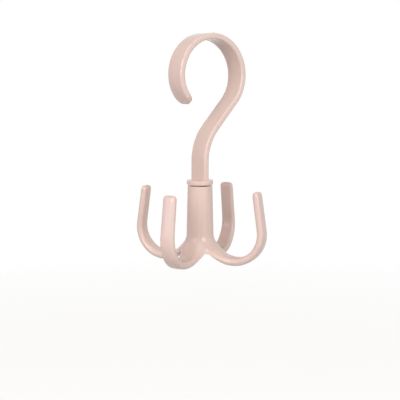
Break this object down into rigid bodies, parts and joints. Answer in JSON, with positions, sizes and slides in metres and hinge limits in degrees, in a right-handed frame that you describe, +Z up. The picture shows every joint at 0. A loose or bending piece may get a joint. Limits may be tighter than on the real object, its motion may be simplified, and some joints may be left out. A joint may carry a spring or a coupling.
{
  "type": "rotating closet hook",
  "caption": "Question-mark rod hook of moulded plastic that carries a freely turning claw of upturned arms for bags, belts and scarves.",
  "frame": {"origin": "middle of the flat where the closet rod rests, at the top of the inside of the hook's loop", "axes": "+Z up, against the pull of the load; the closet rod runs along Y; the hook is bent in the XZ plane, and its nose is on the -X side"},
  "size_m": [0.0931, 0.093, 0.1597],
  "materials": {
    "hook_plastic": "satin moulded pale pink-beige",
    "claw_plastic": "satin moulded pale pink-beige",
    "washer_steel": "bright zinc plate",
    "screw_steel": "bright zinc plate"
  },
  "bodies": {
    "hook": {"top_hook": "hook_plastic", "retaining_washer": "washer_steel", "retaining_screw": "screw_steel"},
    "claw": {"claw": "claw_plastic"}
  },
  "joints": [
    {"name": "claw_spin", "type": "hinge", "parent": "hook", "child": "claw", "pos_m": [-0.00656, 0, -0.10105], "axis": [0, 0, 1], "continuous": true}
  ]
}
